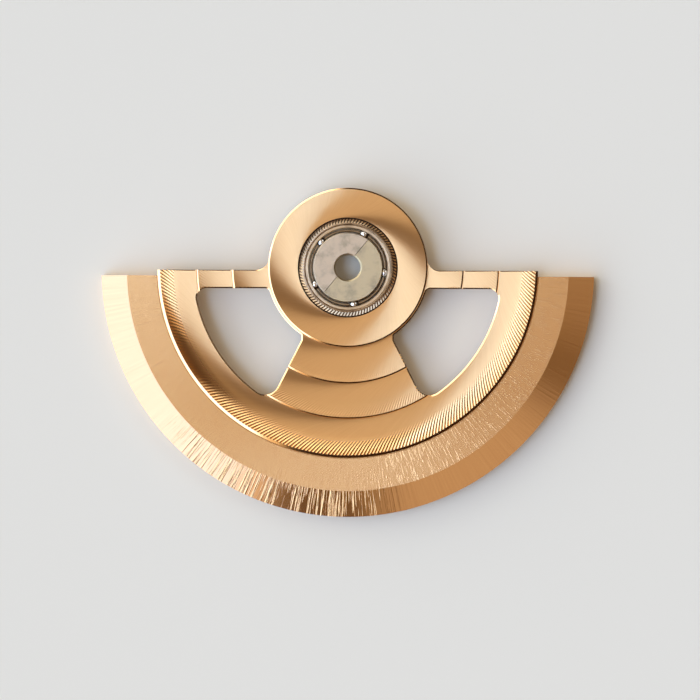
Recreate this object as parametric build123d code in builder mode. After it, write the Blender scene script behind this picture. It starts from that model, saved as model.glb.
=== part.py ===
from build123d import *
import os
from math import cos, radians, sin

os.makedirs("parts", exist_ok=True)

# Automatic rotor: a half disc that swings on a small ball bearing. The origin is on the bearing's
# axis, at the face on which the inner race seats. +Z points to the decorated side, and the weight
# hangs towards -Y. All sizes are in millimetres.
overrun = 0.5

# Weight segment: a half ring with a flat top, a wide outer bevel and an inner ledge for the plate.
# Its outside is struck from a centre a little below the bearing's axis.
sweep_radius = 13.30
segment_shift = 0.15
segment_height = 1.30
segment_setback = 0.45
bevel_width = 1.39
bevel_drop = 0.50
flat_width = 1.73
ledge_width = 1.37
ledge_sink = 0.40
ledge_undercut = 0.35
ledge_root_margin = 0.22
foot_chamfer = 0.08

# Carrier plate: hub, two arms, spoke and outer band, turned in terraces that rise outwards
plate_clearance = 0.02
plate_edge_chamfer = 0.12
plate_thickness = 0.60
plate_rise = 0.03
plate_setback = 0.15
arm_width = 0.97
arm_root_fillet = 0.65
first_step_share = 0.334
second_step_share = 0.6575
terrace_rise = 0.14
step_edge_break = 0.04
hub_width = 1.65
hub_rise = 0.06
dish_depth = 0.14
dish_sag_share = 0.42

# Windows between the arms, the spoke and the outer band
band_width = 1.84
window_hub_land = 0.11
spoke_root_angle = 35.4
spoke_stub_share = 0.9125
spoke_tip_angle = 29.8
window_arm_corner = 0.50
window_hub_corner = 0.27
spoke_root_corner = 0.10
spoke_tip_corner = 0.75

# Pins that hold the segment to the plate, flush with the ledge's underside
pin_count = 3
pin_span = 100.0
pin_inset = 0.62
pin_radius = 0.40
pin_grip = 0.26
pin_clearance = 0.01

# Balls and the races' shared groove: two flanks at 45 degrees and a relieved bottom
ball_count = 5
first_ball_angle = 64.0
ball_radius = 0.26
ball_circle_radius = 1.97
race_gap = 0.26
groove_clearance = 0.01
groove_relief = 0.02
race_edge_break = 0.03

# Outer race, with a spigot for the pinion
outer_race_wall = 0.24
outer_race_foot = 0.10
spigot_height = 0.32
spigot_wall = 0.14
groove_shelf = 0.30
groove_cover = 0.32

# Inner race: two halves on a seat ring, with the screw's bore through them
inner_race_stand = 0.11
screw_bore_radius = 0.67
bore_chamfer = 0.09
seat_flange_setback = 0.24
seat_flange_height = 0.22
seat_spigot_wall = 0.33
seat_spigot_height = 0.20
seat_clearance = 0.01
split_angle = 50.3
split_offset = 0.12
split_gap = 0.04

# Cage: a crown that opens upwards at each ball
cage_side_gap = 0.05
cage_drop = 0.42
cage_rise = 0.16
pocket_clearance = 0.02
pocket_mouth_share = 0.85

# Knurled bush between the outer race and the hub
bush_clearance = 0.01
bush_wall = 0.14
collar_overhang = 0.09
collar_taper = 0.15
collar_sink = 0.04
collar_height = 0.18
knurl_count = 96
knurl_depth = 0.05
knurl_lean_share = 0.80

# Rotor pinion pressed on the outer race's spigot, which drives the winding gears
pinion_teeth = 40
pinion_clearance = 0.01
pinion_wall = 0.12
pinion_tooth_height = 0.18
pinion_setback = 0.03
tooth_root_share = 0.62
tooth_tip_share = 0.26


def on_circle(radius, angle):
    """A point on a circle about the bearing's axis, angle in degrees from +X."""
    return (radius * cos(radians(angle)), radius * sin(radians(angle)))


# Radii, from the balls outwards to the hub and from the sweep inwards to the windows
inner_race_radius = ball_circle_radius - race_gap / 2
outer_race_bore = ball_circle_radius + race_gap / 2
outer_race_radius = outer_race_bore + outer_race_wall
bush_inner_radius = outer_race_radius + bush_clearance
bush_barrel_radius = bush_inner_radius + bush_wall
collar_radius = bush_barrel_radius + collar_overhang
hub_radius = collar_radius + hub_width
segment_radius = sweep_radius - segment_shift
bevel_radius = segment_radius - bevel_width
recess_radius = sweep_radius - bevel_width - flat_width
plate_foot_radius = recess_radius - plate_clearance
plate_radius = plate_foot_radius - plate_edge_chamfer
first_step_radius = hub_radius + (plate_radius - hub_radius) * first_step_share
second_step_radius = hub_radius + (plate_radius - hub_radius) * second_step_share
window_outer_radius = plate_radius - band_width
pin_circle_radius = plate_radius - pin_inset

# Heights, from the bearing up to the plate and from the plate down to the segment's foot
shoulder_height = outer_race_foot + spigot_height
ball_height = shoulder_height + groove_shelf
outer_race_top = ball_height + groove_cover
inner_race_top = outer_race_top + inner_race_stand
plate_bottom = shoulder_height + plate_rise
plate_top = plate_bottom + plate_thickness
terrace_low = plate_top - terrace_rise
hub_top = plate_top + hub_rise
dish_low = hub_top - dish_depth
collar_seat = dish_low - collar_sink
collar_top = collar_seat + collar_height
ledge_top = plate_bottom
segment_top = ledge_top + ledge_sink
segment_bottom = segment_top - segment_height
ledge_bottom = segment_bottom + ledge_undercut

# Weight segment
ledge_radius = recess_radius - ledge_width
ledge_root_radius = recess_radius + ledge_root_margin
segment_axis = Axis((0, -segment_shift, 0), (0, 0, 1))
pin_start = -90 - pin_span / 2
pin_hole_radius = pin_radius + pin_clearance

with BuildPart() as rim_weight:
    # The turned outside, about the segment's own centre
    with BuildSketch(Plane.XZ.offset(segment_shift)):
        with BuildLine():
            Polyline(
                (0, segment_bottom),
                (segment_radius - foot_chamfer, segment_bottom),
                (segment_radius, segment_bottom + foot_chamfer),
                (segment_radius, segment_top - bevel_drop),
                (bevel_radius, segment_top),
                (0, segment_top),
                close=True,
            )
        make_face()
    revolve(axis=segment_axis)
    # The recess for the plate, with the ledge and the space beneath it
    with BuildSketch(Plane.XZ):
        with BuildLine():
            Polyline(
                (0, segment_bottom - overrun),
                (ledge_root_radius, segment_bottom - overrun),
                (ledge_root_radius, ledge_bottom),
                (ledge_radius, ledge_bottom),
                (ledge_radius, ledge_top),
                (recess_radius, ledge_top),
                (recess_radius, segment_top + overrun),
                (0, segment_top + overrun),
                close=True,
            )
        make_face()
    revolve(axis=Axis.Z, mode=Mode.SUBTRACT)
    # The half above the ends
    with BuildSketch(Plane.XY.offset(segment_bottom - overrun)):
        with Locations((0, -segment_setback)):
            Rectangle(
                2 * (sweep_radius + overrun),
                sweep_radius + segment_setback + overrun,
                align=(Align.CENTER, Align.MIN),
            )
    extrude(amount=segment_height + 2 * overrun, mode=Mode.SUBTRACT)
    # Holes for the pins
    with BuildSketch(Plane.XY.offset(ledge_bottom - overrun)):
        with PolarLocations(pin_circle_radius, pin_count, pin_start, pin_span, endpoint=True):
            Circle(pin_hole_radius)
    extrude(amount=ledge_top - ledge_bottom + 2 * overrun, mode=Mode.SUBTRACT)
rim_weight.part.label = "rim_weight"
export_step(rim_weight.part, "parts/rim_weight.step")

# Carrier plate
hub_shelf_radius = (bush_barrel_radius + hub_radius) / 2
bush_bore_radius = bush_barrel_radius + bush_clearance
collar_bore_radius = collar_radius + bush_clearance
dish_start = (collar_bore_radius, dish_low)
dish_end = (hub_radius - step_edge_break, hub_top)
dish_middle = ((dish_start[0] + dish_end[0]) / 2, dish_low + dish_depth * dish_sag_share)
spoke_half_root = hub_radius * sin(radians(spoke_root_angle))
spoke_stub_depth = hub_radius * spoke_stub_share
terrace_edges = []
for step_radius in (first_step_radius, second_step_radius):
    terrace_edges.append((step_radius - step_edge_break, plate_top))
    terrace_edges.append((step_radius, plate_top - step_edge_break))
    terrace_edges.append((step_radius, terrace_low))

with BuildPart() as carrier_plate:
    # The three terraces, each rising outwards and stepping down at its outer edge
    with BuildSketch(Plane.XZ):
        with BuildLine():
            Polyline(
                (hub_shelf_radius, terrace_low),
                (hub_radius, terrace_low),
                *terrace_edges,
                (plate_radius - step_edge_break, plate_top),
                (plate_foot_radius, segment_top),
                (plate_foot_radius, plate_bottom),
                (hub_shelf_radius, plate_bottom),
                close=True,
            )
        make_face()
    revolve(axis=Axis.Z)
    # The plan of the arms, spoke and band, with both windows
    with BuildSketch(Plane.XY.offset(plate_bottom - overrun)):
        Circle(plate_foot_radius + overrun)
        with Locations((0, -plate_setback)):
            Rectangle(
                2 * (plate_foot_radius + 2 * overrun),
                plate_foot_radius + plate_setback + 2 * overrun,
                align=(Align.CENTER, Align.MIN),
                mode=Mode.SUBTRACT,
            )
        Circle(hub_radius)
        fillet(
            vertices().filter_by_position(Axis.X, -hub_radius - overrun, hub_radius + overrun),
            radius=arm_root_fillet,
        )
        with BuildSketch(mode=Mode.PRIVATE) as window:
            Circle(window_outer_radius)
            Circle(hub_radius + window_hub_land, mode=Mode.SUBTRACT)
            with Locations((0, -plate_setback - arm_width)):
                Rectangle(
                    window_outer_radius + overrun,
                    window_outer_radius,
                    align=(Align.MAX, Align.MAX),
                    mode=Mode.INTERSECT,
                )
            with BuildLine():
                Polyline(
                    (0, 0),
                    (-spoke_half_root, 0),
                    (-spoke_half_root, -spoke_stub_depth),
                    on_circle(window_outer_radius, -90 - spoke_tip_angle),
                    (-spoke_half_root, -window_outer_radius - overrun),
                    (0, -window_outer_radius - overrun),
                    close=True,
                )
            make_face(mode=Mode.SUBTRACT)
            upper = window.vertices().sort_by(Axis.Y)[-2:].sort_by(Axis.X)
            tip = window.vertices().sort_by(Axis.Y)[0]
            root = window.vertices().sort_by(Axis.X)[-1]
            corners = [
                (upper[0], window_arm_corner),
                (upper[1], window_hub_corner),
                (tip, spoke_tip_corner),
                (root, spoke_root_corner),
            ]
            for corner, size in corners:
                nearest = window.vertices().sort_by_distance(corner)[0]
                fillet(nearest, radius=size)
            mirror(about=Plane.YZ)
        add(window.sketch, mode=Mode.SUBTRACT)
    extrude(amount=plate_thickness + 2 * overrun, mode=Mode.INTERSECT)
    # The hub with its dish, the bush's bore and the collar's counterbore
    with BuildSketch(Plane.XZ):
        with BuildLine():
            Polyline(
                dish_end,
                (hub_radius, hub_top - step_edge_break),
                (hub_radius, plate_bottom),
                (bush_bore_radius, plate_bottom),
                (bush_bore_radius, collar_seat),
                (collar_bore_radius, collar_seat),
                dish_start,
            )
            ThreePointArc(dish_start, dish_middle, dish_end)
        make_face()
    revolve(axis=Axis.Z)
    # Blind holes for the pins
    with BuildSketch(Plane.XY.offset(plate_bottom - overrun)):
        with PolarLocations(pin_circle_radius, pin_count, pin_start, pin_span, endpoint=True):
            Circle(pin_hole_radius)
    extrude(amount=pin_grip + pin_clearance + overrun, mode=Mode.SUBTRACT)
carrier_plate.part.label = "carrier_plate"
export_step(carrier_plate.part, "parts/carrier_plate.step")

# Pins through the ledge into the plate
with BuildPart() as rim_pins:
    with BuildSketch(Plane.XY.offset(ledge_bottom)):
        with PolarLocations(pin_circle_radius, pin_count, pin_start, pin_span, endpoint=True):
            Circle(pin_radius)
    extrude(amount=plate_bottom + pin_grip - ledge_bottom)
rim_pins.part.label = "rim_pins"
export_step(rim_pins.part, "parts/rim_pins.step")

# Ball groove: its section, cut by both races
groove_reach = ball_radius + groove_relief
flank_reach = (ball_radius + groove_clearance) / cos(radians(45))

with BuildSketch(Plane.XZ) as groove_section:
    with Locations((ball_circle_radius, ball_height)):
        RegularPolygon(flank_reach, 4)
        Rectangle(2 * groove_reach, 2 * flank_reach, mode=Mode.INTERSECT)

# Outer race
spigot_radius = outer_race_bore + spigot_wall

with BuildPart() as outer_race:
    with BuildSketch(Plane.XZ):
        with BuildLine():
            Polyline(
                (outer_race_bore + race_edge_break, outer_race_top),
                (outer_race_radius - race_edge_break, outer_race_top),
                (outer_race_radius, outer_race_top - race_edge_break),
                (outer_race_radius, shoulder_height),
                (spigot_radius, shoulder_height),
                (spigot_radius, outer_race_foot),
                (outer_race_bore, outer_race_foot),
                (outer_race_bore, outer_race_top - race_edge_break),
                close=True,
            )
        make_face()
        add(groove_section.sketch, mode=Mode.SUBTRACT)
    revolve(axis=Axis.Z)
outer_race.part.label = "outer_race"
export_step(outer_race.part, "parts/outer_race.step")

# Inner race halves: one turned ring with a groove, cut in two beside its bore
split_normal = Vector(*on_circle(1, split_angle + 90))
seat_spigot_radius = screw_bore_radius + seat_spigot_wall
spigot_bore_radius = seat_spigot_radius + seat_clearance
spigot_recess_top = seat_flange_height + seat_spigot_height + seat_clearance

with BuildSketch(Plane.XZ) as inner_race_section:
    with BuildLine():
        Polyline(
            (spigot_bore_radius, seat_flange_height),
            (inner_race_radius, seat_flange_height),
            (inner_race_radius, inner_race_top - race_edge_break),
            (inner_race_radius - race_edge_break, inner_race_top),
            (screw_bore_radius + bore_chamfer, inner_race_top),
            (screw_bore_radius, inner_race_top - bore_chamfer),
            (screw_bore_radius, spigot_recess_top),
            (spigot_bore_radius, spigot_recess_top),
            close=True,
        )
    make_face()
    add(groove_section.sketch, mode=Mode.SUBTRACT)

with BuildPart() as inner_race_left:
    revolve(inner_race_section.sketch, axis=Axis.Z)
    split(
        bisect_by=Plane(split_normal * (split_offset + split_gap / 2), z_dir=split_normal),
        keep=Keep.TOP,
    )
inner_race_left.part.label = "inner_race_left"
export_step(inner_race_left.part, "parts/inner_race_left.step")

with BuildPart() as inner_race_right:
    revolve(inner_race_section.sketch, axis=Axis.Z)
    split(
        bisect_by=Plane(split_normal * (split_offset - split_gap / 2), z_dir=split_normal),
        keep=Keep.BOTTOM,
    )
inner_race_right.part.label = "inner_race_right"
export_step(inner_race_right.part, "parts/inner_race_right.step")

# Seat ring beneath the halves, whose spigot keeps them on one centre
seat_flange_radius = inner_race_radius - seat_flange_setback

with BuildPart() as seat_ring:
    with BuildSketch(Plane.XZ):
        with BuildLine():
            Polyline(
                (screw_bore_radius, 0),
                (seat_flange_radius, 0),
                (seat_flange_radius, seat_flange_height),
                (seat_spigot_radius, seat_flange_height),
                (seat_spigot_radius, seat_flange_height + seat_spigot_height),
                (screw_bore_radius, seat_flange_height + seat_spigot_height),
                close=True,
            )
        make_face()
    revolve(axis=Axis.Z)
seat_ring.part.label = "seat_ring"
export_step(seat_ring.part, "parts/seat_ring.step")

# Crown cage: a thin ring whose pockets cross it and open upwards
cage_inner_radius = inner_race_radius + cage_side_gap
cage_outer_radius = outer_race_bore - cage_side_gap
cage_foot = ball_height - cage_drop
cage_top = ball_height + cage_rise
pocket_radius = ball_radius + pocket_clearance

with BuildPart() as ball_cage:
    with BuildSketch(Plane.XY.offset(cage_foot)):
        Circle(cage_outer_radius)
        Circle(cage_inner_radius, mode=Mode.SUBTRACT)
    extrude(amount=cage_top - cage_foot)
    for number in range(ball_count):
        angle = first_ball_angle + number * 360 / ball_count
        pocket_plane = Plane(
            origin=(0, 0, ball_height),
            x_dir=(*on_circle(1, angle + 90), 0),
            z_dir=(*on_circle(1, angle), 0),
        )
        with BuildSketch(pocket_plane):
            Circle(pocket_radius)
            Rectangle(
                2 * pocket_radius * pocket_mouth_share,
                cage_rise + overrun,
                align=(Align.CENTER, Align.MIN),
            )
        extrude(amount=cage_outer_radius + overrun, mode=Mode.SUBTRACT)
ball_cage.part.label = "ball_cage"
export_step(ball_cage.part, "parts/ball_cage.step")

# Balls
for number in range(ball_count):
    centre = on_circle(ball_circle_radius, first_ball_angle + number * 360 / ball_count)
    with BuildPart() as ball:
        with Locations((*centre, ball_height)):
            Sphere(ball_radius)
    ball.part.label = f"ball_{number + 1}"
    export_step(ball.part, f"parts/ball_{number + 1}.step")

# Knurled bush: a plain barrel in the hub, and a tapered collar with leaning teeth that shows
knurl_pitch = 360 / knurl_count


def knurl_points(tip_radius, turn):
    """The points of fine V teeth round a circle, turned about the axis by an angle in degrees."""
    points = []
    for tooth in range(knurl_count):
        angle = turn + tooth * knurl_pitch
        points.append(on_circle(tip_radius, angle))
        points.append(on_circle(tip_radius - knurl_depth, angle + knurl_pitch / 2))
    return points


with BuildPart() as knurled_bush:
    with BuildSketch(Plane.XY.offset(collar_seat)):
        with BuildLine():
            Polyline(*knurl_points(collar_radius, 0), close=True)
        make_face()
    with BuildSketch(Plane.XY.offset(collar_top)):
        with BuildLine():
            Polyline(*knurl_points(collar_radius - collar_taper, knurl_pitch * knurl_lean_share), close=True)
        make_face()
    loft(ruled=True)
    with BuildSketch(Plane.XY.offset(plate_bottom)):
        Circle(bush_barrel_radius)
    extrude(amount=collar_seat - plate_bottom)
    with BuildSketch(Plane.XY.offset(plate_bottom - overrun)):
        Circle(bush_inner_radius)
    extrude(amount=collar_top - plate_bottom + 2 * overrun, mode=Mode.SUBTRACT)
knurled_bush.part.label = "knurled_bush"
export_step(knurled_bush.part, "parts/knurled_bush.step")

# Rotor pinion
pinion_bore_radius = spigot_radius + pinion_clearance
pinion_root_radius = pinion_bore_radius + pinion_wall
pinion_tip_radius = pinion_root_radius + pinion_tooth_height
pinion_foot = outer_race_foot + pinion_setback
tooth_pitch = 360 / pinion_teeth
tooth_corners = [
    (pinion_root_radius, -tooth_root_share),
    (pinion_tip_radius, -tooth_tip_share),
    (pinion_tip_radius, tooth_tip_share),
    (pinion_root_radius, tooth_root_share),
]

with BuildPart() as rotor_pinion:
    with BuildSketch(Plane.XY.offset(pinion_foot)):
        flank_points = []
        for tooth in range(pinion_teeth):
            for radius, share in tooth_corners:
                flank_points.append(on_circle(radius, (tooth + share / 2) * tooth_pitch))
        with BuildLine():
            Polyline(*flank_points, close=True)
        make_face()
        Circle(pinion_bore_radius, mode=Mode.SUBTRACT)
    extrude(amount=shoulder_height - pinion_foot)
rotor_pinion.part.label = "rotor_pinion"
export_step(rotor_pinion.part, "parts/rotor_pinion.step")
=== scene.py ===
from math import acos, atan2, cos, hypot, pi, radians, sin, sqrt

import bpy
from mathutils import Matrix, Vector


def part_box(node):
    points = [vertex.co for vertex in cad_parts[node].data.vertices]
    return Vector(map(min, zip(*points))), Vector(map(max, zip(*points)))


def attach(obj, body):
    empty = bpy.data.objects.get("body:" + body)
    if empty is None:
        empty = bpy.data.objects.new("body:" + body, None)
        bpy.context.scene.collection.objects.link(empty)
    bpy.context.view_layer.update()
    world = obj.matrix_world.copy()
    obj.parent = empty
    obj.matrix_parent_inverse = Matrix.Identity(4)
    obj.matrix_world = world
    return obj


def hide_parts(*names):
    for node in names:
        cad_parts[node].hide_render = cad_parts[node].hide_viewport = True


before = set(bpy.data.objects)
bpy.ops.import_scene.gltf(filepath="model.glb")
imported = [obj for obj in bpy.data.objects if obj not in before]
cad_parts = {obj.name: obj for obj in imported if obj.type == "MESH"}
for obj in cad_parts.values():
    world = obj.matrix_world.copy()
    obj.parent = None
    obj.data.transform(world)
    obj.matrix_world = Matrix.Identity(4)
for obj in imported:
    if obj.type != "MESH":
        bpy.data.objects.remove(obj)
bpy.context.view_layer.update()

# The view: the rotor lies face up, and the camera looks straight down on it from far off, so that its
# circles stay round. The picture is 700 pixels across, and one pixel covers 0.0532 mm at the plate.
mm = 0.001
picture_width = 700 * 0.0532 * mm
plate_level = 0.95 * mm
camera_lens = 200.0
camera_sensor = 36.0
camera_height = picture_width * camera_lens / camera_sensor
camera_aim = (0.133 * mm, -4.389 * mm)
camera_roll = radians(0.22)
camera_near = 10 * mm
camera_far = 4.0

camera_data = bpy.data.cameras.new("camera")
camera_data.lens = camera_lens
camera_data.sensor_width = camera_sensor
camera_data.clip_start = camera_near
camera_data.clip_end = camera_far
camera = bpy.data.objects.new("camera", camera_data)
bpy.context.collection.objects.link(camera)
camera.location = (*camera_aim, plate_level + camera_height)
camera.rotation_euler = (0, 0, camera_roll)
bpy.context.scene.camera = camera
bpy.context.scene.view_settings.view_transform = "Standard"

# The table: a large sheet of pale card, which touches the underside of the weight. It stands for the
# photograph's plain background and catches the rotor's soft shadow.
table_colour = "DDD7C6"
table_half = 1.5


def linear(colour):
    """An sRGB hex colour as linear red, green, blue and alpha."""
    parts = [int(colour[i : i + 2], 16) / 255 for i in (0, 2, 4)]
    return (*[p / 12.92 if p <= 0.04045 else ((p + 0.055) / 1.055) ** 2.4 for p in parts], 1.0)


def add_node(tree, kind, settings={}, **links):
    """Adds a shader node, sets what settings names, and feeds its inputs with values, with sockets
    or with other nodes. An input goes by its name, or by its number after an underscore."""
    made = tree.nodes.new("ShaderNode" + kind)
    for name, value in settings.items():
        setattr(made, name, value)
    for name, value in links.items():
        key = int(name[1:]) if name[1:].isdigit() else name.replace("_", " ")
        if isinstance(value, bpy.types.Node):
            value = next(each for each in value.outputs if not each.is_unavailable)
        if isinstance(value, bpy.types.NodeSocket):
            tree.links.new(value, made.inputs[key])
        else:
            made.inputs[key].default_value = value
    return made


def new_material(name):
    """An empty node material and its tree."""
    material = bpy.data.materials.new(name)
    material.use_nodes = True
    material.node_tree.nodes.clear()
    return material, material.node_tree


# Card: uncoated paper board, pressed without gloss. It gives the eye an even light grey that mirrors
# nothing.
card, tree = new_material("matt_card")
matt = add_node(tree, "BsdfDiffuse", Color=linear(table_colour))
add_node(tree, "OutputMaterial", Surface=matt)

bpy.ops.object.select_all(action="DESELECT")
table_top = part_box("rim_weight")[0].z
bpy.ops.mesh.primitive_plane_add(size=2 * table_half, location=(0, 0, table_top))
table = bpy.context.object
table.name = "table"
table.data.materials.append(card)

# The light: the warm dim room that the metal mirrors, with a tall cool window on the left between a
# blind, a sill and a curtain, and pale walls at the upper left and the right over a dark skirting.
# Its colours are linear, because the window and the walls are brighter than white.
room_colour = (0.40, 0.28, 0.19, 1)
room_low_colour = (0.15, 0.085, 0.045, 1)
room_high_colour = (0.24, 0.16, 0.10, 1)
lower_right_colour = (0.64, 0.49, 0.38, 1)
ceiling_left_colour = (0.71, 0.56, 0.36, 1)
ceiling_right_colour = (0.52, 0.40, 0.33, 1)
skirting_colour = (0.04, 0.02, 0.01, 1)
pale_wall_colour = (1.40, 1.20, 0.98, 1)
low_wall_colour = (2.8, 2.8, 2.7, 1)
right_wall_colour = (1.5, 1.45, 1.35, 1)
curtain_colour = (1.10, 0.80, 0.48, 1)
window_colour = (4.4, 6.3, 9.6, 1)
sill_colour = (2.3, 2.8, 3.6, 1)
blind_colour = (1.50, 1.75, 2.75, 1)

world = bpy.data.worlds.new("studio")
bpy.context.scene.world = world
world.use_nodes = True
tree = world.node_tree
tree.nodes.clear()
direction = add_node(tree, "TexCoord").outputs["Generated"]
x, y, z = add_node(tree, "SeparateXYZ", Vector=direction).outputs
leftwards = add_node(tree, "Math", {"operation": "MULTIPLY"}, _0=x, _1=-1.0)
leftwards = add_node(tree, "Math", {"operation": "MAXIMUM"}, _0=0.01, _1=leftwards)
beside = add_node(tree, "Math", {"operation": "DIVIDE"}, _0=y, _1=leftwards)
window_edges = [(beside, 0.42, 0.16), (x, -0.16, -0.27), (z, 0.02, 0.10)]
wall_edges = [(x, -0.03, -0.23), (y, 0.02, 0.20)]

# Each light lies over those before it. An edge gives what it reads, where it starts and where the
# light is full: x, y and z are a direction's shares, and beside is y over its share to the left.
sky = add_node(tree, "RGB")
sky.outputs[0].default_value = room_colour
for colour, edges in [
    (room_low_colour, [(y, -0.05, -0.35)]),
    (lower_right_colour, [(y, -0.25, -0.45), (x, 0.00, 0.18)]),
    (room_high_colour, [(y, 0.10, 0.40)]),
    (ceiling_right_colour, [(z, 0.955, 0.985)]),
    (ceiling_left_colour, [(z, 0.955, 0.985), (x, 0.08, -0.05)]),
    (skirting_colour, [(z, 0.70, 0.56)]),
    (pale_wall_colour, wall_edges + [(z, 0.985, 0.94)]),
    (low_wall_colour, wall_edges + [(z, 0.62, 0.48)]),
    (right_wall_colour, [(x, 0.22, 0.40), (y, 0.06, 0.24), (z, 0.90, 0.80), (z, 0.48, 0.62)]),
    (curtain_colour, window_edges + [(beside, -3.0, -2.3)]),
    (window_colour, window_edges + [(beside, -1.9, -1.6)]),
    (sill_colour, window_edges + [(beside, -1.9, -1.6), (z, 0.66, 0.60)]),
    (blind_colour, window_edges + [(beside, -2.1, -1.8), (z, 0.90, 0.86), (z, 0.60, 0.66)]),
]:
    share = 1.0
    for reading, start, full in edges:
        edge = add_node(
            tree,
            "MapRange",
            {"interpolation_type": "SMOOTHSTEP"},
            Value=reading,
            From_Min=start,
            From_Max=full,
        )
        share = add_node(tree, "Math", {"operation": "MULTIPLY"}, _0=share, _1=edge)
    sky = add_node(tree, "Mix", {"data_type": "RGBA"}, _0=share, _6=sky, _7=colour)
add_node(tree, "OutputWorld", Surface=add_node(tree, "Background", Color=sky, Strength=1.0))

# Weight segment: sintered tungsten alloy, turned to a flat with a wide bevel, then plated in rose
# gold. Its flat and bevel are brushed outwards from the middle. The plate sits on its inner ledge.
segment_low, segment_high = (v / mm for v in (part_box("rim_weight")[0].z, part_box("rim_weight")[1].z))
segment_shift = 0.15
segment_radius = -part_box("rim_weight")[0].y / mm - segment_shift
segment_setback = 0.45
segment_steps = 480
bevel_width = 1.39
bevel_drop = 0.50
foot_chamfer = 0.08
recess_radius = 10.18
ledge_radius = 8.81
ledge_high = 0.45
ledge_low = -0.10
ledge_root = 10.40
cut_overrun = 1.0
merge_distance = 1e-8
bisect_distance = 1e-7
bevel_lean = (0.5, 0.97)


def start_from_point(name):
    """Begins a piece in edit mode as one vertex at the origin: a plane with its corners merged."""
    bpy.ops.object.select_all(action="DESELECT")
    bpy.ops.mesh.primitive_plane_add(size=mm, location=(0, 0, 0))
    piece = bpy.context.object
    piece.name = name
    piece.data.name = name
    bpy.ops.object.mode_set(mode="EDIT")
    bpy.ops.mesh.select_mode(type="VERT")
    bpy.ops.mesh.select_all(action="SELECT")
    bpy.ops.mesh.merge(type="CENTER")
    return piece


def turned(name, section, steps, shift=0.0):
    """Draws a closed section of (radius, height) points in mm, and spins it about an upright axis
    that stands shift mm towards -Y."""
    piece = start_from_point(name)
    bpy.ops.transform.translate(value=(section[0][0] * mm, -shift * mm, section[0][1] * mm))
    for (r0, z0), (r1, z1) in zip(section, section[1:] + section[:1]):
        step = ((r1 - r0) * mm, 0, (z1 - z0) * mm)
        bpy.ops.mesh.extrude_vertices_move(TRANSFORM_OT_translate={"value": step})
    bpy.ops.mesh.select_all(action="SELECT")
    bpy.ops.mesh.remove_doubles(threshold=merge_distance)
    bpy.ops.mesh.spin(steps=steps, angle=2 * pi, center=(0, -shift * mm, 0), axis=(0, 0, 1))
    bpy.ops.mesh.select_all(action="SELECT")
    bpy.ops.mesh.remove_doubles(threshold=merge_distance)
    bpy.ops.mesh.normals_make_consistent(inside=False)
    bpy.ops.object.mode_set(mode="OBJECT")
    return piece


def make_active(piece):
    """Selects one object alone."""
    bpy.ops.object.select_all(action="DESELECT")
    piece.select_set(True)
    bpy.context.view_layer.objects.active = piece


def apply_modifier(piece, kind, **settings):
    """Adds a modifier with its settings and applies it."""
    make_active(piece)
    modifier = piece.modifiers.new("step", kind)
    for name, value in settings.items():
        setattr(modifier, name, value)
    bpy.ops.object.modifier_apply(modifier=modifier.name)


def cut_away(piece, tool):
    """Takes a closed tool mesh out of a piece. The cut faces keep the tool's material."""
    for each in (piece, tool):
        apply_modifier(each, "TRIANGULATE", quad_method="SHORTEST_DIAGONAL")
    apply_modifier(piece, "BOOLEAN", object=tool, solver="EXACT", material_mode="TRANSFER")
    bpy.data.objects.remove(tool, do_unlink=True)


def halved(piece, point, normal):
    """Cuts a piece at an upright plane, takes away the side to which normal points, and closes it."""
    make_active(piece)
    bpy.ops.object.mode_set(mode="EDIT")
    bpy.ops.mesh.select_all(action="SELECT")
    bpy.ops.mesh.bisect(
        plane_co=(*point, 0),
        plane_no=(*normal, 0),
        use_fill=True,
        clear_outer=True,
        threshold=bisect_distance,
    )
    bpy.ops.object.mode_set(mode="OBJECT")


def smoothed(piece, degrees):
    """Smooth shading that stays sharp on edges over an angle."""
    make_active(piece)
    bpy.ops.object.shade_smooth_by_angle(angle=radians(degrees))


def finished_in(piece, *materials):
    """Gives a piece its materials, the first of which covers it."""
    piece.data.materials.clear()
    for material in materials:
        piece.data.materials.append(material)


weight = turned(
    "weight_segment",
    [
        (0, segment_low),
        (segment_radius - foot_chamfer, segment_low),
        (segment_radius, segment_low + foot_chamfer),
        (segment_radius, segment_high - bevel_drop),
        (segment_radius - bevel_width, segment_high),
        (0, segment_high),
    ],
    segment_steps,
    segment_shift,
)
recess = turned(
    "recess_tool",
    [
        (0, segment_low - cut_overrun),
        (ledge_root, segment_low - cut_overrun),
        (ledge_root, ledge_low),
        (ledge_radius, ledge_low),
        (ledge_radius, ledge_high),
        (recess_radius, ledge_high),
        (recess_radius, segment_high + cut_overrun),
        (0, segment_high + cut_overrun),
    ],
    segment_steps,
)
cut_away(weight, recess)
halved(weight, (0, -segment_setback * mm), (0, 1))
smoothed(weight, 12)

# The brushing catches the window in a strip about glint_place. It is full to glint_half from there
# and has faded out at glint_end.
rose_gold = "F5CA91"
rose_gold_worn = "E6B57E"
brushing_radius = 12.0
glint_place = -3.5
glint_half = 3.5
glint_end = 6.5


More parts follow.
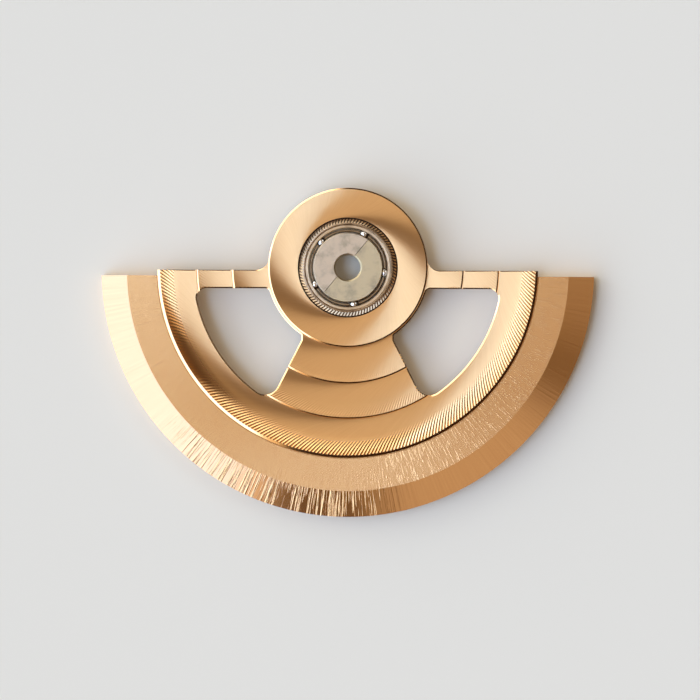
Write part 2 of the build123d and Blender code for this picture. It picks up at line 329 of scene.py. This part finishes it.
def brushed_gold(name, roughness, streak_width, streak_length, glint_depth, other_depth):
    """Plated metal brushed outwards from the middle, with scratches of one depth in the strip that
    catches the window and of another beside it. Streak sizes and depths are in mm."""
    material, tree = new_material(name)
    place = add_node(tree, "TexCoord").outputs["Object"]
    side, up, _ = add_node(tree, "SeparateXYZ", Vector=place).outputs
    turn = add_node(tree, "Math", {"operation": "ARCTAN2"}, _0=up, _1=side)
    reach = add_node(tree, "VectorMath", {"operation": "LENGTH"}, _0=place)
    along = add_node(tree, "Math", {"operation": "MULTIPLY"}, _0=reach, _1=1 / (streak_length * mm))
    around = add_node(tree, "Math", {"operation": "MULTIPLY"}, _0=turn, _1=brushing_radius / streak_width)
    grain = add_node(tree, "CombineXYZ", X=around, Y=along)
    streaks = add_node(tree, "TexNoise", Vector=grain, Scale=1.0, Detail=3.0, Roughness=0.65)
    tone = add_node(
        tree, "Mix", {"data_type": "RGBA"}, _0=streaks, _6=linear(rose_gold), _7=linear(rose_gold_worn)
    )
    aside = add_node(tree, "Math", {"operation": "ADD"}, _0=side, _1=-glint_place * mm)
    aside = add_node(tree, "Math", {"operation": "ABSOLUTE"}, _0=aside)
    depth = add_node(
        tree,
        "MapRange",
        Value=aside,
        From_Min=glint_half * mm,
        From_Max=glint_end * mm,
        To_Min=glint_depth * mm,
        To_Max=other_depth * mm,
    )
    scratches = add_node(
        tree, "MapRange", {"interpolation_type": "SMOOTHSTEP"}, Value=streaks, From_Min=0.48, From_Max=0.72
    )
    metal = add_node(
        tree,
        "BsdfPrincipled",
        Base_Color=tone,
        Metallic=1.0,
        Roughness=roughness,
        Anisotropic=0.3,
        Tangent=add_node(tree, "Tangent", {"direction_type": "RADIAL", "axis": "Z"}),
        Normal=add_node(tree, "Bump", Height=scratches, Strength=1.0, Distance=depth),
    )
    add_node(tree, "OutputMaterial", Surface=metal)
    return material


# Rose gold plating on the flat, brushed outwards with fine paper: a soft satin with a faint grain.
# Real strokes are about 0.03 mm wide. They are drawn three times as wide, so that they show.
brushed_flat = brushed_gold(
    "brushed_rose_gold",
    roughness=0.27,
    streak_width=0.10,
    streak_length=1.1,
    glint_depth=0.0005,
    other_depth=0.003,
)
# The same plating on the bevel, brushed with long firm strokes: bright and dark streaks side by side
# where it catches the window, and an even sheen elsewhere. They are drawn four times as wide as real
# strokes, so that they show.
brushed_bevel = brushed_gold(
    "brushed_rose_gold_bevel",
    roughness=0.15,
    streak_width=0.13,
    streak_length=4.0,
    glint_depth=0.022,
    other_depth=0.001,
)
finished_in(weight, brushed_flat, brushed_bevel)
for face in weight.data.polygons:
    face.material_index = 1 if bevel_lean[0] < face.normal.z < bevel_lean[1] else 0
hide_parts("rim_weight")
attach(weight, "rotor")

# Carrier plate: brass, turned in three terraces that rise outwards round a dished hub, scooped in
# winding ribs by a fly cutter, sawn out into two arms, a spoke and a band, and plated in rose gold.
hub_radius = 4.23
hub_top = 1.11
hub_edge_break = 0.07
dish_radius = 2.66
dish_low = 1.085
dish_sag = 0.002
dish_rings = 12
collar_seat = 0.93
bush_bore_radius = 2.50
plate_bottom = 0.45
plate_top = 1.05
plate_setback = 0.15
plate_foot_radius = 10.13
upper_part = 0.65
terrace_low = 0.985
terrace_sag = 0.010
terrace_radii = [(hub_radius, 6.17), (6.17, 8.05), (8.05, 10.04)]
terrace_rings = 15
ring_crowding = 1.5
step_edge_break = 0.085
step_ledges = (0.022, 0.037)
step_foot = 0.02
rim_edge_break = 0.05
rim_chamfer_drop = 0.085
rim_ledge = 0.08
ledge_run = 0.005
edge_slope = 0.62
rib_count = 330
rib_depths = (0.020, 0.035, 0.075)
rib_growth = 2.4
rib_arc = 6.8
rib_overrun = 0.1
dish_brushing_arc = 4.6
hub_skin = 0.001
seat_skin = 0.01
hair = 1e-6


def terrace_height(radius):
    """The height of the plate's top at a radius, on the ribs' crests. A radius within a hair of a
    step belongs to the terrace inside it."""
    if radius < hub_radius:
        return terrace_low
    for start, end in terrace_radii:
        if radius < end + hair:
            t = (radius - start) / (end - start)
            return terrace_low + (plate_top - terrace_low) * t - 4 * terrace_sag * t * (1 - t)
    return plate_top


def rib_wind(radius):
    """The angle by which the ribs and the dish's brushing have wound round at a radius."""
    wound = 0.0
    for start, end in [(dish_radius, hub_radius)] + terrace_radii:
        reach = min(max(radius, start), end)
        arc = dish_brushing_arc if end == hub_radius else rib_arc
        wound -= acos(min(1.0, (reach**2 + (start + arc) ** 2 - arc**2) / (2 * reach * (start + arc))))
    return wound


def rib_depth(radius):
    """The depth of the valleys between the ribs, which grows towards each step."""
    for (start, end), depth in zip(terrace_radii, rib_depths):
        is_outermost = end == terrace_radii[-1][1]
        if start < radius < end + (rib_overrun if is_outermost else hair):
            return depth * min(1.0, (radius - start) / (end - start)) ** rib_growth
    return 0.0


# The section, from the bore outwards: the collar's seat, the dish, the hub's edge, and the terraces,
# each of which ends in a small ledge and a chamfer.
plate_section = [
    (bush_bore_radius, plate_bottom),
    (bush_bore_radius, collar_seat),
    (dish_radius, collar_seat),
]
dish_end = hub_radius - hub_edge_break
for n in range(dish_rings + 1):
    t = n / dish_rings
    height = dish_low + (hub_top - dish_low) * t - 4 * dish_sag * t * (1 - t)
    plate_section.append((dish_radius + (dish_end - dish_radius) * t, height))
plate_section.append((hub_radius, hub_top - hub_edge_break * edge_slope))
foot = hub_radius
for (start, end), ledge in zip(terrace_radii, (*step_ledges, rim_ledge)):
    crest = end - (rim_edge_break if ledge == rim_ledge else step_edge_break)
    for n in range(terrace_rings + 1):
        radius = foot + (crest - foot) * (n / terrace_rings) ** ring_crowding
        plate_section.append((radius, terrace_height(radius) if n else terrace_low))
    foot = end + step_foot
    plate_section.append((crest + ledge_run, plate_top - ledge))
    if ledge != rim_ledge:
        plate_section.append((end, plate_top - ledge - step_edge_break * edge_slope))
rim_crest = crest
plate_section.append((plate_foot_radius, plate_top - rim_ledge - rim_chamfer_drop))
plate_section.append((plate_foot_radius, plate_bottom))
plate_section += [(start, plate_bottom) for start, end in reversed(terrace_radii)]

# The ribs: every other column of points sinks into a valley, and all columns wind round as the fly
# cutter's arcs do. The map called grooves holds the radius in centimetres and the column's share of
# a turn, so that the brushing can follow them.
plate = turned("carrier_plate_scooped", plate_section, 2 * rib_count)
columns = [0] * len(plate.data.vertices)
for vertex in plate.data.vertices:
    x, y, z = (v / mm for v in vertex.co)
    radius, angle = hypot(x, y), atan2(y, x)
    column = round(angle / pi * rib_count) % (2 * rib_count)
    columns[vertex.index] = column
    if column % 2 and radius > hub_radius + hub_skin and z > upper_part:
        z = min(z, terrace_height(radius) - rib_depth(radius))
    angle += rib_wind(radius)
    vertex.co = (radius * cos(angle) * mm, radius * sin(angle) * mm, z * mm)
grooves = plate.data.uv_layers.new(name="grooves")
for face in plate.data.polygons:
    numbers = [columns[v] for v in face.vertices]
    for corner, number in zip(face.loop_indices, numbers):
        if number == 0 and max(numbers) > rib_count:
            number = 2 * rib_count
        point = plate.data.vertices[plate.data.loops[corner].vertex_index].co
        grooves.data[corner].uv = (hypot(point.x, point.y) / mm / 10, number / (2 * rib_count))

# The saws: two windows and the clearance above the arms, each a closed outline with its own chamfer
outline_spacing = 0.06
saw_overrun = 0.3
saw_lift = 0.02
step_reach = 0.04
window_chamfer = 0.07
window_outer_radius = 8.20
window_inner_radius = 4.34
window_arm_corner = 0.50
window_hub_corner = 0.27
spoke_half_root = 2.45
spoke_stub_depth = 3.86
spoke_tip_angle = radians(-119.8)
spoke_root_corner = 0.10
spoke_tip_corner = 0.75
arm_width = 0.97
arm_root_fillet = 0.65
arm_chamfer = 0.05
arm_chamfer_start = 0.05
hub_clearance = 0.006
side_clearance = 0.4


def arc_points(centre, radius, start, end):
    """Points along an arc, its ends included."""
    count = max(3, round(abs(end - start) * radius / outline_spacing))
    turns = [start + (end - start) * n / count for n in range(count + 1)]
    return [(centre[0] + radius * cos(a), centre[1] + radius * sin(a)) for a in turns]


def closely_spaced(points):
    """A closed outline with points added along the long runs that lie on the plate."""
    spaced = []
    for (x0, y0), (x1, y1) in zip(points, points[1:] + points[:1]):
        on_plate = min(hypot(x0, y0), hypot(x1, y1)) < plate_foot_radius
        count = max(1, round(hypot(x1 - x0, y1 - y0) / outline_spacing)) if on_plate else 1
        spaced += [(x0 + (x1 - x0) * n / count, y0 + (y1 - y0) * n / count) for n in range(count)]
    return spaced


def saw_tool(name, outline, flares):
    """A closed tool with a clockwise outline seen from above. Its wall leans outwards where it meets
    the plate's top, and leaves a chamfer there of the width that flares gives for each point."""
    bpy.ops.object.select_all(action="DESELECT")
    bpy.ops.mesh.primitive_circle_add(
        vertices=len(outline),
        radius=plate_foot_radius * mm,
        fill_type="NGON",
        location=(0, 0, (plate_bottom - saw_overrun) * mm),
    )
    piece = bpy.context.object
    piece.name = name
    bpy.ops.object.transform_apply(location=True)
    for vertex, (x, y) in zip(piece.data.vertices, outline):
        vertex.co.x, vertex.co.y = x * mm, y * mm
    bpy.ops.object.mode_set(mode="EDIT")
    # Three rings of points stand above the first: the chamfer's foot, its top and the tool's top.
    for ring in range(3):
        bpy.ops.mesh.extrude_region_move(TRANSFORM_OT_translate={"value": (0, 0, mm)})
    bpy.ops.mesh.select_all(action="SELECT")
    bpy.ops.mesh.normals_make_consistent(inside=False)
    bpy.ops.object.mode_set(mode="OBJECT")
    for vertex in piece.data.vertices:
        px, py, pz = (v / mm for v in vertex.co)
        n = min(range(len(outline)), key=lambda i: (outline[i][0] - px) ** 2 + (outline[i][1] - py) ** 2)
        ring = round(pz - plate_bottom + saw_overrun)
        x, y = outline[n]
        (xa, ya), (xb, yb) = outline[n - 1], outline[(n + 1) % len(outline)]
        run = hypot(xb - xa, yb - ya)
        outwards = (-(yb - ya) / run, (xb - xa) / run)
        radius = hypot(x, y)
        level = max(terrace_height(r) for r in (radius - step_reach, radius, radius + step_reach))
        reach = flares[n] + saw_lift / edge_slope if flares[n] > 0 else 0.0
        if ring == 1:
            vertex.co.z = (level - flares[n] * edge_slope) * mm
        elif ring > 1:
            vertex.co.x = (x + outwards[0] * reach) * mm
            vertex.co.y = (y + outwards[1] * reach) * mm
            vertex.co.z = (level + saw_lift if ring == 2 else plate_top + saw_overrun) * mm
    return piece


# The left window, clockwise from the arm's end: along the arm, round the hub, down the spoke, back
# along the band. Each corner is an arc that touches both its neighbours.
arm_line = -plate_setback - arm_width
arm_corner = (
    -sqrt((window_outer_radius - window_arm_corner) ** 2 - (arm_line - window_arm_corner) ** 2),
    arm_line - window_arm_corner,
)
hub_corner = (
    -sqrt((window_inner_radius + window_hub_corner) ** 2 - (arm_line - window_hub_corner) ** 2),
    arm_line - window_hub_corner,
)
root_corner = (
    -spoke_half_root - spoke_root_corner,
    -sqrt((window_inner_radius + spoke_root_corner) ** 2 - (spoke_half_root + spoke_root_corner) ** 2),
)
spoke_root = (-spoke_half_root, -spoke_stub_depth)
spoke_tip = (window_outer_radius * cos(spoke_tip_angle), window_outer_radius * sin(spoke_tip_angle))
flank_length = hypot(spoke_tip[0] - spoke_root[0], spoke_tip[1] - spoke_root[1])
flank = ((spoke_tip[0] - spoke_root[0]) / flank_length, (spoke_tip[1] - spoke_root[1]) / flank_length)
off_flank = (flank[1], -flank[0])
shifted = (spoke_root[0] + off_flank[0] * spoke_tip_corner, spoke_root[1] + off_flank[1] * spoke_tip_corner)
along = shifted[0] * flank[0] + shifted[1] * flank[1]
apart = shifted[0] ** 2 + shifted[1] ** 2 - (window_outer_radius - spoke_tip_corner) ** 2
run = -along + sqrt(along**2 - apart)
tip_corner = (shifted[0] + flank[0] * run, shifted[1] + flank[1] * run)
flank_angle = atan2(-off_flank[1], -off_flank[0])
arm_angle = atan2(arm_corner[1], arm_corner[0])
tip_angle = atan2(tip_corner[1], tip_corner[0])
window_outline = closely_spaced(
    arc_points(hub_corner, window_hub_corner, pi / 2, atan2(-hub_corner[1], -hub_corner[0]))
    + arc_points(
        (0, 0),
        window_inner_radius,
        atan2(hub_corner[1], hub_corner[0]),
        atan2(root_corner[1], root_corner[0]),
    )[1:]
    + arc_points(root_corner, spoke_root_corner, atan2(-root_corner[1], -root_corner[0]), 0)[1:]
    + [spoke_root]
    + arc_points(tip_corner, spoke_tip_corner, flank_angle, tip_angle)
    + arc_points((0, 0), window_outer_radius, tip_angle, arm_angle)[1:]
    + arc_points(arm_corner, window_arm_corner, arm_angle, pi / 2 - 2 * pi)[1:]
)
left_window = saw_tool("left_window_tool", window_outline, [window_chamfer] * len(window_outline))
mirrored = [(-x, y) for x, y in reversed(window_outline)]
right_window = saw_tool("right_window_tool", mirrored, [window_chamfer] * len(mirrored))

# What is sawn away above the arms, round the hub's upper half
clear_radius = hub_radius + hub_clearance
fillet_x = sqrt((clear_radius + arm_root_fillet) ** 2 - (arm_root_fillet - plate_setback) ** 2)
fillet_y = arm_root_fillet - plate_setback
fillet_angle = atan2(fillet_y, fillet_x)
beyond = plate_foot_radius + side_clearance
top_outline = closely_spaced(
    arc_points((-fillet_x, fillet_y), arm_root_fillet, -pi / 2, -fillet_angle)
    + arc_points((0, 0), clear_radius, pi - fillet_angle, fillet_angle)[1:]
    + arc_points((fillet_x, fillet_y), arm_root_fillet, pi + fillet_angle, 1.5 * pi)[1:]
    + [(beyond, -plate_setback), (beyond, beyond), (-beyond, beyond), (-beyond, -plate_setback)]
)[::-1]


def top_flare(x, y):
    """The chamfer on the arms' upper edges, which fades out where the arms run into the hub."""
    away = hypot(x, y) - hub_radius - arm_chamfer_start
    return 0.0 if away < 0 else arm_chamfer * min(1.0, away / arm_root_fillet)


top_tool = saw_tool("top_tool", top_outline, [top_flare(x, y) for x, y in top_outline])


def spiral_brushed(name, roughness, rib_roughness, groove_width, groove_length, depth):
    """Plated metal whose brushing follows the winding grooves, smoother on the ribs of the band.
    Groove sizes and depth are in mm."""
    material, tree = new_material(name)
    grain = add_node(tree, "UVMap", {"uv_map": "grooves"})
    turn = 2 * pi * window_outer_radius
    sizes = add_node(tree, "Mapping", Vector=grain, Scale=(10 / groove_length, turn / groove_width, 1))
    streaks = add_node(tree, "TexNoise", Vector=sizes, Scale=1.0, Detail=3.0, Roughness=0.6)
    tone = add_node(
        tree, "Mix", {"data_type": "RGBA"}, _0=streaks, _6=linear(rose_gold), _7=linear(rose_gold_worn)
    )
    reach = add_node(tree, "SeparateXYZ", Vector=grain)
    dullness = add_node(
        tree,
        "MapRange",
        Value=reach,
        From_Min=ribs_from / 10,
        From_Max=ribs_to / 10,
        To_Min=roughness,
        To_Max=rib_roughness,
    )
    metal = add_node(
        tree,
        "BsdfPrincipled",
        Base_Color=tone,
        Metallic=1.0,
        Roughness=dullness,
        Anisotropic=1.0,
        Anisotropic_Rotation=0.25,
        Tangent=add_node(tree, "Tangent", {"direction_type": "UV_MAP", "uv_map": "grooves"}),
        Normal=add_node(tree, "Bump", Height=streaks, Strength=1.0, Distance=depth * mm),
    )
    add_node(tree, "OutputMaterial", Surface=metal)
    return material


# Rose gold plating over the fly cutter's grooves: they spread the light across themselves, so that
# the plate shows broad soft bands, and sharper glints on the band's ribs. Real grooves are about
# 0.03 mm wide and are drawn nearly three times as wide.
ribs_from = 8.6
ribs_to = 9.6
scooped = spiral_brushed(
    "scooped_rose_gold",
    roughness=0.40,
    rib_roughness=0.21,
    groove_width=0.08,
    groove_length=2.5,
    depth=0.0012,
)
# The same plating on edges cut with a diamond tool: nearly a mirror, which shows as a thin line,
# bright towards the window and dark towards the table.
chamfered, tree = new_material("chamfered_rose_gold")
metal = add_node(tree, "BsdfPrincipled", Base_Color=linear(rose_gold), Metallic=1.0, Roughness=0.15)
add_node(tree, "OutputMaterial", Surface=metal)
# Painted shade in the gap under the bush's collar: the plating there is coloured dark brown, so that it shows
# as a dull dark ring round the knurl
painted_gap_shade_brown = "3A2A1E"
painted_gap_shade, tree = new_material("painted_shade_seat")
metal = add_node(tree, "BsdfPrincipled", Base_Color=linear(painted_gap_shade_brown), Metallic=1.0, Roughness=0.5)
add_node(tree, "OutputMaterial", Surface=metal)

finished_in(plate, scooped)
make_active(left_window)
for tool in (left_window, right_window, top_tool):
    finished_in(tool, chamfered)
    tool.select_set(True)
bpy.ops.object.join()
cut_away(plate, left_window)
plate.data.materials.append(painted_gap_shade)
edge_breaks = [
    (hub_radius - hub_edge_break, hub_radius),
    *[(end - step_edge_break, end) for start, end in terrace_radii[:-1]],
    (rim_crest + 0.6 * ledge_run, plate_foot_radius),
]
for face in plate.data.polygons:
    radius = hypot(face.center.x, face.center.y) / mm
    if any(start < radius < end for start, end in edge_breaks) and face.normal.z > 0.5:
        face.material_index = 1
    # The faces of the collar's seat, down in the gap, take the dark painted shade
    if radius < dish_radius and face.center.z < (collar_seat + seat_skin) * mm:
        face.material_index = 2
smoothed(plate, 26)
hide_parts("carrier_plate")
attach(plate, "rotor")

# Knurled bush: turned steel, pressed between the bearing and the hub. Its collar lies in the hub's
# dish, and leaning teeth are rolled all over the collar's sloping face.
bush_bore = 2.28
bush_barrel = 2.49
bush_seat = 0.95
bush_top = 1.13
bush_edge = 0.02
collar_radius = 2.585
collar_edge = 1.035
lip_radius = 2.34
knurl_count = 96
knurl_depth = 0.052
knurl_lean = 0.8 * radians(360 / knurl_count)
knurl_rings = 5
knurl_fade = 4
steps_per_tooth = 6


def turned_steel(name, colour, dull_colour, roughness, ring_spacing, depth, stain_size=0.7):
    """Steel with the fine rings that a lathe or a grinding wheel leaves, and faint stains. Spacing,
    depth and size are in mm."""
    material, tree = new_material(name)
    place = add_node(tree, "TexCoord").outputs["Object"]
    level = add_node(tree, "VectorMath", {"operation": "MULTIPLY"}, _0=place, _1=(1, 1, 0))
    reach = add_node(tree, "VectorMath", {"operation": "LENGTH"}, _0=level)
    rings = add_node(
        tree, "TexNoise", {"noise_dimensions": "1D"}, W=reach, Scale=1 / (ring_spacing * mm), Detail=2.0
    )
    stains = add_node(tree, "TexNoise", Vector=place, Scale=1 / (stain_size * mm), Detail=4.0, Roughness=0.6)
    shade = add_node(
        tree, "MapRange", {"interpolation_type": "SMOOTHSTEP"}, Value=stains, From_Min=0.4, From_Max=0.75
    )
    tone = add_node(tree, "Mix", {"data_type": "RGBA"}, _0=shade, _6=linear(colour), _7=linear(dull_colour))
    metal = add_node(
        tree,
        "BsdfPrincipled",
        Base_Color=tone,
        Metallic=1.0,
        Roughness=roughness,
        Anisotropic=0.4,
        Anisotropic_Rotation=0.25,
        Tangent=add_node(tree, "Tangent", {"direction_type": "RADIAL", "axis": "Z"}),
        Normal=add_node(tree, "Bump", Height=rings, Strength=1.0, Distance=depth * mm),
    )
    add_node(tree, "OutputMaterial", Surface=metal)
    return material


slope = [
    (
        collar_radius - (collar_radius - lip_radius) * n / knurl_rings,
        collar_edge + (bush_top - collar_edge) * n / knurl_rings,
    )
    for n in range(knurl_rings + 1)
]
bush = turned(
    "knurled_bush_turned",
    [
        (bush_bore + bush_edge, plate_bottom),
        (bush_barrel - bush_edge, plate_bottom),
        (bush_barrel, plate_bottom + bush_edge),
        (bush_barrel, bush_seat),
        (collar_radius, bush_seat),
        *slope,
        (bush_bore + bush_edge, bush_top),
        (bush_bore, bush_top - bush_edge),
        (bush_bore, plate_bottom + bush_edge),
    ],
    knurl_count * steps_per_tooth,
)
for vertex in bush.data.vertices:
    radius, angle = hypot(vertex.co.x, vertex.co.y), atan2(vertex.co.y, vertex.co.x)
    share = (collar_radius - radius / mm) / (collar_radius - lip_radius)
    is_below_lip = -0.01 < share < 0.99
    if vertex.co.z > (collar_edge - bush_edge) * mm and is_below_lip:
        tooth = angle / (2 * pi) * knurl_count % 1
        vertex.co.z -= knurl_depth * mm * (1 - abs(2 * tooth - 1)) * (1 - share**knurl_fade)
        angle += knurl_lean * share
        vertex.co.x, vertex.co.y = radius * cos(angle), radius * sin(angle)
smoothed(bush, 12)

# Bearing steel, turned, with its teeth rolled by a knurling wheel: a satin grey whose colour is tinted brown
# as a painted reflection of the gold round it, and a bright speck on each tooth.
knurl_steel_painted_reflection = turned_steel(
    "rolled_steel_painted_reflection", "B39C80", "8C765D", roughness=0.27, ring_spacing=0.03, depth=0.0004
)
finished_in(bush, knurl_steel_painted_reflection)
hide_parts("knurled_bush")
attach(bush, "rotor")

# Outer race: hardened steel, ground all over, pressed into the bush. Its bore has a groove with two
# flanks at 45 degrees for the balls, and a spigot below carries the pinion.
race_bore = 2.10
race_outside = 2.275
race_top = 1.04
race_edge = 0.03
race_foot = 0.10
race_steps = 192
shoulder = 0.42
spigot_outside = 2.24
ball_circle = 1.97
ball_level = 0.72
flank_distance = 0.27
flank_reach = flank_distance / cos(radians(45))
groove_reach = 0.28


def groove_points(radius, side):
    """The ball groove's corners in a race whose face stands at a radius, from below upwards."""
    deep = ball_circle + side * groove_reach
    open_half = flank_reach - abs(ball_circle - radius)
    deep_half = flank_reach - groove_reach
    return [
        (radius, ball_level - open_half),
        (deep, ball_level - deep_half),
        (deep, ball_level + deep_half),
        (radius, ball_level + open_half),
    ]


outer_race = turned(
    "outer_race_ground",
    [
        (race_bore + race_edge, race_foot),
        (race_bore, race_foot + race_edge),
        *groove_points(race_bore, 1),
        (race_bore, race_top - race_edge),
        (race_bore + race_edge, race_top),
        (race_outside - race_edge, race_top),
        (race_outside, race_top - race_edge),
        (race_outside, shoulder),
        (spigot_outside, shoulder),
        (spigot_outside, race_foot + race_edge),
        (spigot_outside - race_edge, race_foot),
    ],
    race_steps,
)
smoothed(outer_race, 30)

# Bearing steel, ground: rings too fine to see one by one, which draw the light out into a short
# bright sweep round the ring.
ground = turned_steel("ground_steel", "EBD8BA", "C4B093", roughness=0.28, ring_spacing=0.02, depth=0.0005)
finished_in(outer_race, ground)
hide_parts("outer_race")
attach(outer_race, "rotor")

# Inner race: one ring of the same steel, lapped flat on its face and then cut in two beside its
# bore, so that the balls can be loaded. The screw's head holds both halves down on the seat ring.
race_radius = 1.84
race_face = 1.15
race_back = 0.22
seat_recess_radius = 1.01
seat_recess_top = 0.43
bore_radius = 0.67
bore_chamfer = 0.08
split_angle = radians(140.3)
split_offset = 0.12
split_gap = 0.026


def lapped_steel(name, colour, dull_colour, stain_size=0.8, grain_size=0.08, grain_depth=0.0015):
    """Steel lapped on a plate: an even satin face with faint stains and a fine grain. Sizes and
    depth are in mm."""
    material, tree = new_material(name)
    place = add_node(tree, "TexCoord").outputs["Object"]
    stains = add_node(tree, "TexNoise", Vector=place, Scale=1 / (stain_size * mm), Detail=5.0, Roughness=0.65)
    shade = add_node(
        tree, "MapRange", {"interpolation_type": "SMOOTHSTEP"}, Value=stains, From_Min=0.42, From_Max=0.78
    )
    tone = add_node(tree, "Mix", {"data_type": "RGBA"}, _0=shade, _6=linear(colour), _7=linear(dull_colour))
    grain = add_node(tree, "TexNoise", Vector=place, Scale=1 / (grain_size * mm), Detail=2.0)
    relief = add_node(tree, "Bump", Height=grain, Strength=1.0, Distance=grain_depth * mm)
    metal = add_node(tree, "BsdfPrincipled", Base_Color=tone, Metallic=1.0, Roughness=0.36, Normal=relief)
    add_node(tree, "OutputMaterial", Surface=metal)
    return material


# Bearing steel, lapped with fine grit: a warm satin grey with faint stains. The halves differ a
# little in tone. The grit's marks, about 0.02 mm wide, are drawn four times as wide.
lapped_left = lapped_steel("lapped_steel_left", "D6C2A6", "A3967E")
lapped_right = lapped_steel("lapped_steel_right", "CFBD97", "A3967E")
for side, name, node, lapped in (
    (1, "inner_race_half_left", "inner_race_left", lapped_left),
    (-1, "inner_race_half_right", "inner_race_right", lapped_right),
):
    half = turned(
        name,
        [
            (seat_recess_radius, race_back),
            (race_radius - race_edge, race_back),
            (race_radius, race_back + race_edge),
            *groove_points(race_radius, -1),
            (race_radius, race_face - race_edge),
            (race_radius - race_edge, race_face),
            (bore_radius + bore_chamfer, race_face),
            (bore_radius, race_face - bore_chamfer),
            (bore_radius, seat_recess_top),
            (seat_recess_radius, seat_recess_top),
        ],
        race_steps,
    )
    away = (split_offset + side * split_gap / 2) * mm
    halved(
        half,
        (away * cos(split_angle), away * sin(split_angle)),
        (-side * cos(split_angle), -side * sin(split_angle)),
    )
    smoothed(half, 30)
    finished_in(half, lapped)
    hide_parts(node)
    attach(half, "inner_race")

# Cage: a thin turned crown of steel with five pockets that open upwards, so that it snaps over the
# balls from below. It turns at about half the rotor's speed.
cage_inside = 1.91
cage_outside = 2.03
cage_foot = 0.30
cage_top = 0.86
cage_edge = 0.02
cage_steps = 240
pocket_radius = 0.28
pocket_depth = 0.6
pocket_steps = 48
mouth_half = 0.24
mouth_height = 0.8
ball_count = 5
first_ball_angle = radians(64)

cage = turned(
    "ball_cage_crown",
    [
        (cage_inside + cage_edge, cage_foot),
        (cage_outside - cage_edge, cage_foot),
        (cage_outside, cage_foot + cage_edge),
        (cage_outside, cage_top - cage_edge),
        (cage_outside - cage_edge, cage_top),
        (cage_inside + cage_edge, cage_top),
        (cage_inside, cage_top - cage_edge),
        (cage_inside, cage_foot + cage_edge),
    ],
    cage_steps,
)
for number in range(ball_count):
    angle = first_ball_angle + number * 2 * pi / ball_count
    middle = (ball_circle * cos(angle) * mm, ball_circle * sin(angle) * mm)
    bpy.ops.object.select_all(action="DESELECT")
    bpy.ops.mesh.primitive_cylinder_add(
        vertices=pocket_steps,
        radius=pocket_radius * mm,
        depth=pocket_depth * mm,
        location=(*middle, ball_level * mm),
        rotation=(pi / 2, 0, angle + pi / 2),
    )
    pocket = bpy.context.object
    bpy.ops.object.transform_apply(location=True, rotation=True)
    cut_away(cage, pocket)
    bpy.ops.object.select_all(action="DESELECT")
    bpy.ops.mesh.primitive_cube_add(
        size=mm,
        location=(*middle, (ball_level + mouth_height / 2) * mm),
        rotation=(0, 0, angle),
        scale=(pocket_depth, 2 * mouth_half, mouth_height),
    )
    mouth = bpy.context.object
    bpy.ops.object.transform_apply(location=True, rotation=True, scale=True)
    cut_away(cage, mouth)
smoothed(cage, 30)

# Mild steel, turned, its tone darkened as painted shade: a dull brown ring that stands for the shade between
# the races
cage_steel_with_painted_shade = turned_steel(
    "turned_cage_steel_painted_shade", "A39076", "7C6B54", roughness=0.26, ring_spacing=0.02, depth=0.0005
)
finished_in(cage, cage_steel_with_painted_shade)
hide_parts("ball_cage")
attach(cage, "cage")

# Balls: five hardened steel balls that run in the grooves of both races, each made from a cube whose
# points are drawn out to the ball's radius.
ball_radius = 0.26
ball_cuts = 11
haze_size = 0.2

# Bearing steel, lapped to a mirror: a bright point on a dark ball, dulled here and there by a haze
# of oil.
ball_steel, tree = new_material("mirror_lapped_steel")
place = add_node(tree, "TexCoord").outputs["Object"]
haze = add_node(tree, "TexNoise", Vector=place, Scale=1 / (haze_size * mm), Detail=3.0, Roughness=0.5)
dullness = add_node(tree, "MapRange", Value=haze, To_Min=0.04, To_Max=0.16)
metal = add_node(tree, "BsdfPrincipled", Base_Color=linear("DDDCDA"), Metallic=1.0, Roughness=dullness)
add_node(tree, "OutputMaterial", Surface=metal)

bpy.ops.object.select_all(action="DESELECT")
bpy.ops.mesh.primitive_cube_add(size=2 * ball_radius * mm, location=(0, 0, 0))
first_ball = bpy.context.object
bpy.ops.object.mode_set(mode="EDIT")
bpy.ops.mesh.select_all(action="SELECT")
bpy.ops.mesh.subdivide(number_cuts=ball_cuts)
bpy.ops.object.mode_set(mode="OBJECT")
for vertex in first_ball.data.vertices:
    vertex.co *= ball_radius * mm / vertex.co.length
bpy.ops.object.shade_smooth()
finished_in(first_ball, ball_steel)
for number in range(ball_count):
    angle = first_ball_angle + number * 2 * pi / ball_count
    make_active(first_ball)
    bpy.ops.object.duplicate()
    ball = bpy.context.object
    ball.name = f"bearing_ball_{number + 1}"
    ball.location = (ball_circle * cos(angle) * mm, ball_circle * sin(angle) * mm, ball_level * mm)
    bpy.ops.object.transform_apply(location=True)
    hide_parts(f"ball_{number + 1}")
    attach(ball, f"ball_body_{number + 1}")
bpy.data.objects.remove(first_ball, do_unlink=True)

# Pieces that show only from below, kept as they were cut: three pins that join weight and plate, the
# seat ring under the inner race, and the pinion pressed on the outer race.
# Silver steel, drawn through a die: a plain satin rod, dull on its sheared ends
drawn = turned_steel(
    "drawn_pin_steel", "C9C4BC", "A8A299", roughness=0.32, ring_spacing=0.05, depth=0.0005
)
# Mild steel, turned: a warm grey ring with the fine rings of the lathe
seat = turned_steel(
    "turned_seat_steel", "C2AE95", "9E8E79", roughness=0.30, ring_spacing=0.04, depth=0.0008
)
# Hardened steel, its teeth cut by a hob and polished: clean grey teeth with bright flanks
hobbed = turned_steel(
    "hobbed_pinion_steel", "CBC5BB", "A39B8D", roughness=0.28, ring_spacing=0.03, depth=0.0005
)
for node, finish in (("rim_pins", drawn), ("seat_ring", seat), ("rotor_pinion", hobbed)):
    bpy.data.objects[node].material_slots[0].material = finish
